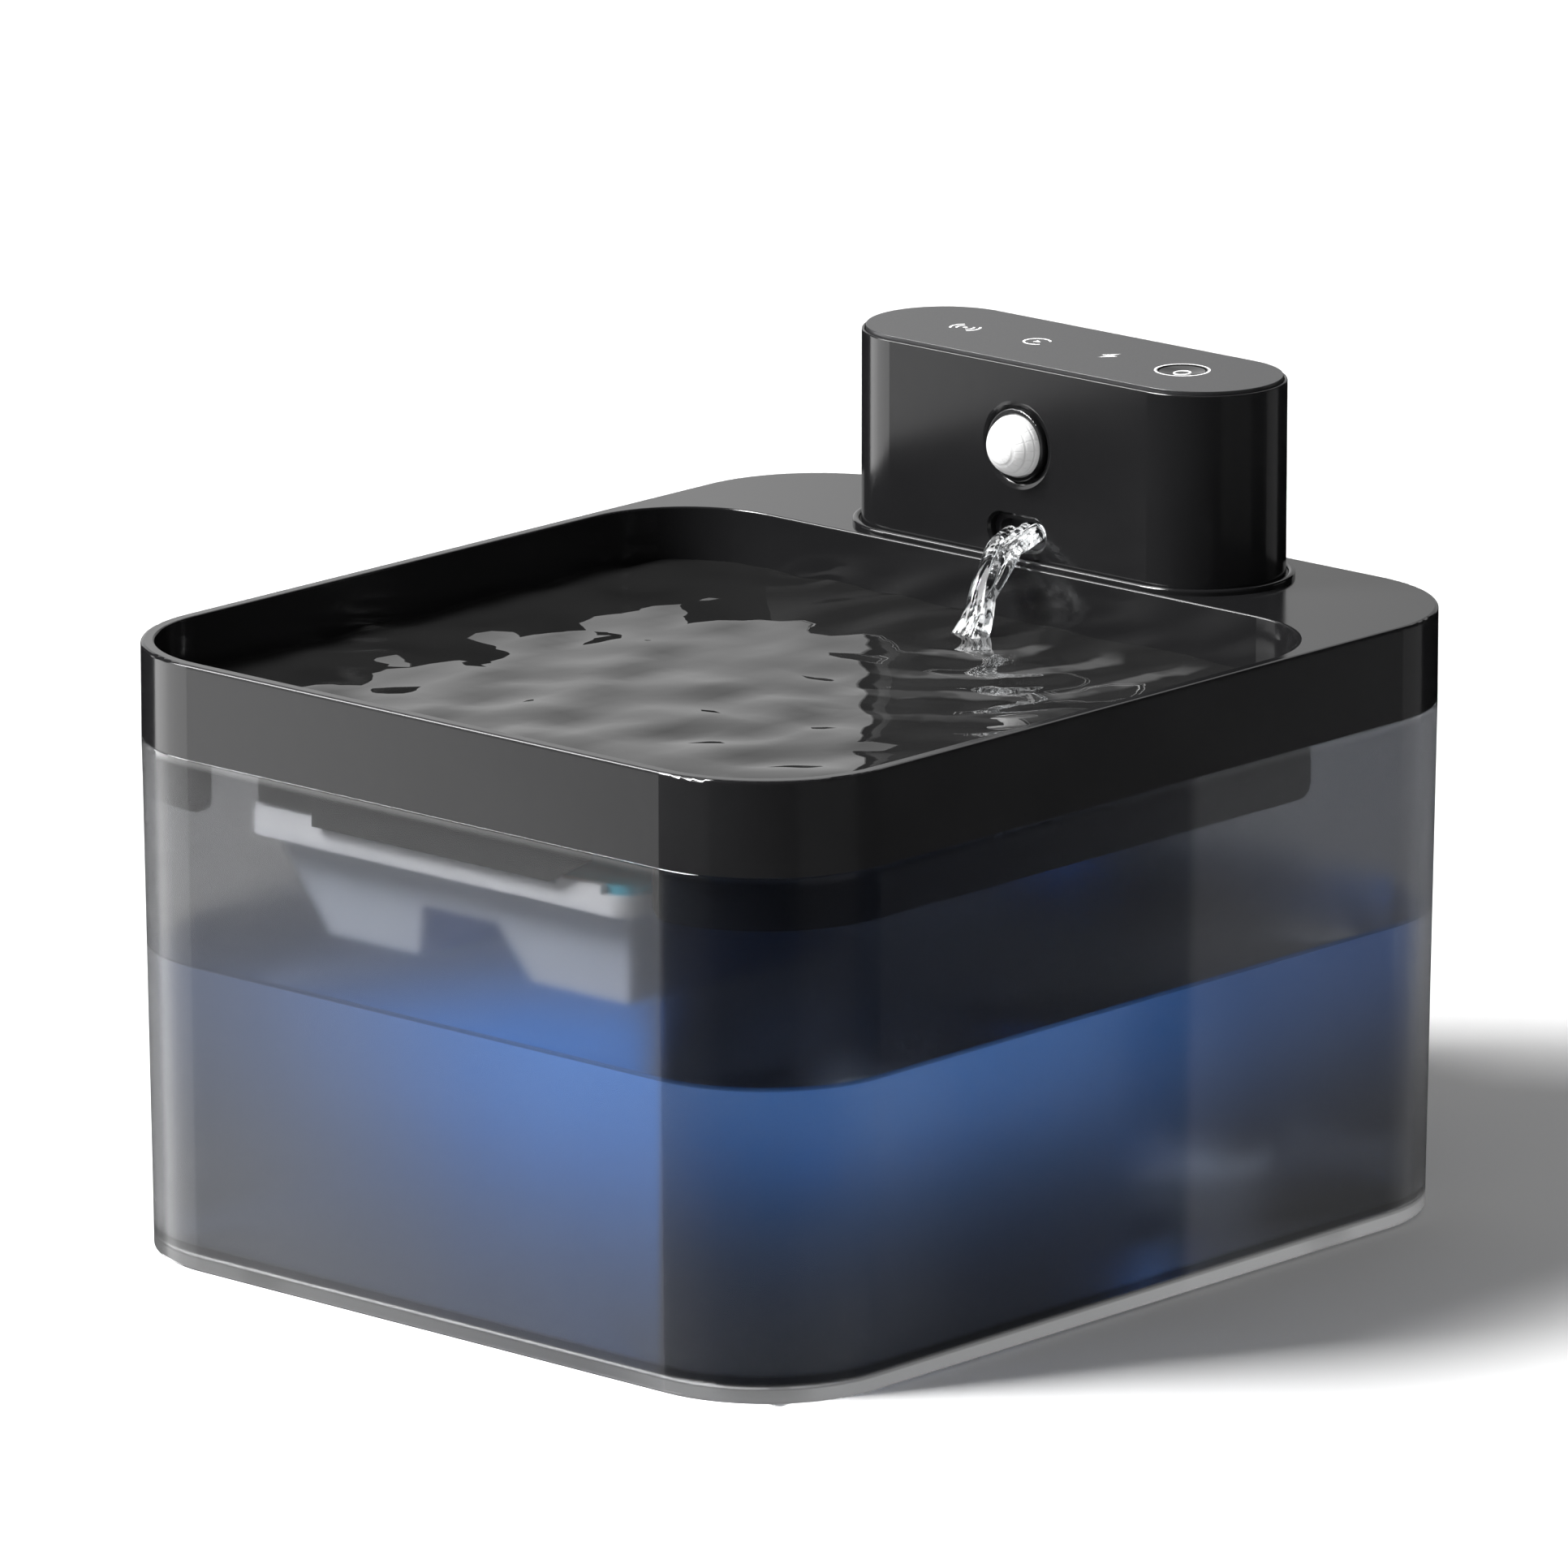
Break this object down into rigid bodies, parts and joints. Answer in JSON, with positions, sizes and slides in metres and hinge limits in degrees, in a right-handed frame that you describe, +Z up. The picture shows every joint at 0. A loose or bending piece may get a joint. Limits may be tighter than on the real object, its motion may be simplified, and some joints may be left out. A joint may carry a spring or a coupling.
{
  "type": "pet water fountain",
  "caption": "Motion-sensing pet water fountain: smoky tank, black drinking tray with a sliding filter box, and a lift-out battery head with spout and hanging pump.",
  "frame": {"origin": "on the floor, under the middle of the footprint", "axes": "+Z up, -Y towards the pet at the front, +X to the right seen from the front; the head stands at the +Y end"},
  "size_m": [0.2, 0.2304, 0.178],
  "materials": {
    "smoke_clear": "glossy, see-through",
    "black_gloss": "polished",
    "panel_satin": "fine matt",
    "filter_white": "milky, slightly see-through",
    "cartridge_cyan": "satin",
    "media_grey": "granular",
    "rubber_black": "matt",
    "seal_grey": "matt",
    "steel": "turned",
    "lens_white": "milky",
    "white_print": "printed",
    "inner_black": "matt",
    "clear_lens": "clear",
    "tube_clear": "soft silicone",
    "board_green": "varnished",
    "cell_wrap": "shrink film",
    "copper": "wound wire",
    "sponge_grey": "open foam",
    "can_metal": "pressed"
  },
  "bodies": {
    "tank": {"tank": "smoke_clear", "foot_pads": "rubber_black"},
    "tray": {"drinking_tray": "black_gloss", "drain_grille": "black_gloss", "socket_seal": "seal_grey"},
    "filter_box": {"filter_box": "filter_white"},
    "cartridge": {"cartridge_base": "cartridge_cyan", "cartridge_lid": "cartridge_cyan", "filter_media": "media_grey"},
    "head": {"head_shell": "black_gloss", "top_panel": "panel_satin", "panel_icons": "white_print", "power_ring": "can_metal", "tact_switch": "inner_black", "pir_lens": "lens_white", "pir_holder": "inner_black", "pir_board": "board_green", "pir_sensor": "can_metal", "nozzle": "inner_black", "riser_tube": "tube_clear", "head_base": "inner_black", "shell_screws": "steel", "column_screws": "steel", "pump_column": "inner_black", "light_lens": "clear_lens", "light_board": "board_green", "pump_cable": "rubber_black", "pump_body": "inner_black", "motor_coil": "copper", "impeller_shaft": "steel", "pump_cover": "inner_black", "battery_cell": "cell_wrap", "battery_cradle": "inner_black", "main_board": "board_green", "touch_springs": "steel", "indicator_leds": "clear_lens", "charge_socket": "can_metal", "charge_board": "board_green"},
    "strainer": {"strainer_cover": "inner_black", "pump_sponge": "sponge_grey"},
    "impeller": {"impeller": "inner_black"},
    "power_button": {"power_button": "black_gloss"},
    "port_cap": {"port_cap": "rubber_black"}
  },
  "joints": [
    {"name": "tray_lift", "type": "slide", "parent": "tank", "child": "tray", "axis": [0, 0, 1], "range_m": [0, 0.11]},
    {"name": "head_lift", "type": "slide", "parent": "tray", "child": "head", "axis": [0, 0, 1], "range_m": [0, 0.13]},
    {"name": "filter_box_slide", "type": "slide", "parent": "tray", "child": "filter_box", "axis": [0, 1, 0], "range_m": [0, 0.07]},
    {"name": "cartridge_lift", "type": "slide", "parent": "filter_box", "child": "cartridge", "axis": [0, 0, 1], "range_m": [0, 0.008]},
    {"name": "strainer_pull", "type": "slide", "parent": "head", "child": "strainer", "axis": [1, 0, 0], "range_m": [0, 0.03]},
    {"name": "impeller_spin", "type": "hinge", "parent": "head", "child": "impeller", "pos_m": [0, 0.09025, 0.024], "axis": [1, 0, 0], "continuous": true},
    {"name": "power_button_press", "type": "slide", "parent": "head", "child": "power_button", "axis": [0, 0, -1], "range_m": [0, 0.0005], "stiffness_N_per_m": 3000},
    {"name": "port_cap_swing", "type": "hinge", "parent": "head", "child": "port_cap", "pos_m": [-0.0362, 0.1085, 0.1428], "axis": [0, 0, 1], "range_deg": [0, 100]}
  ]
}
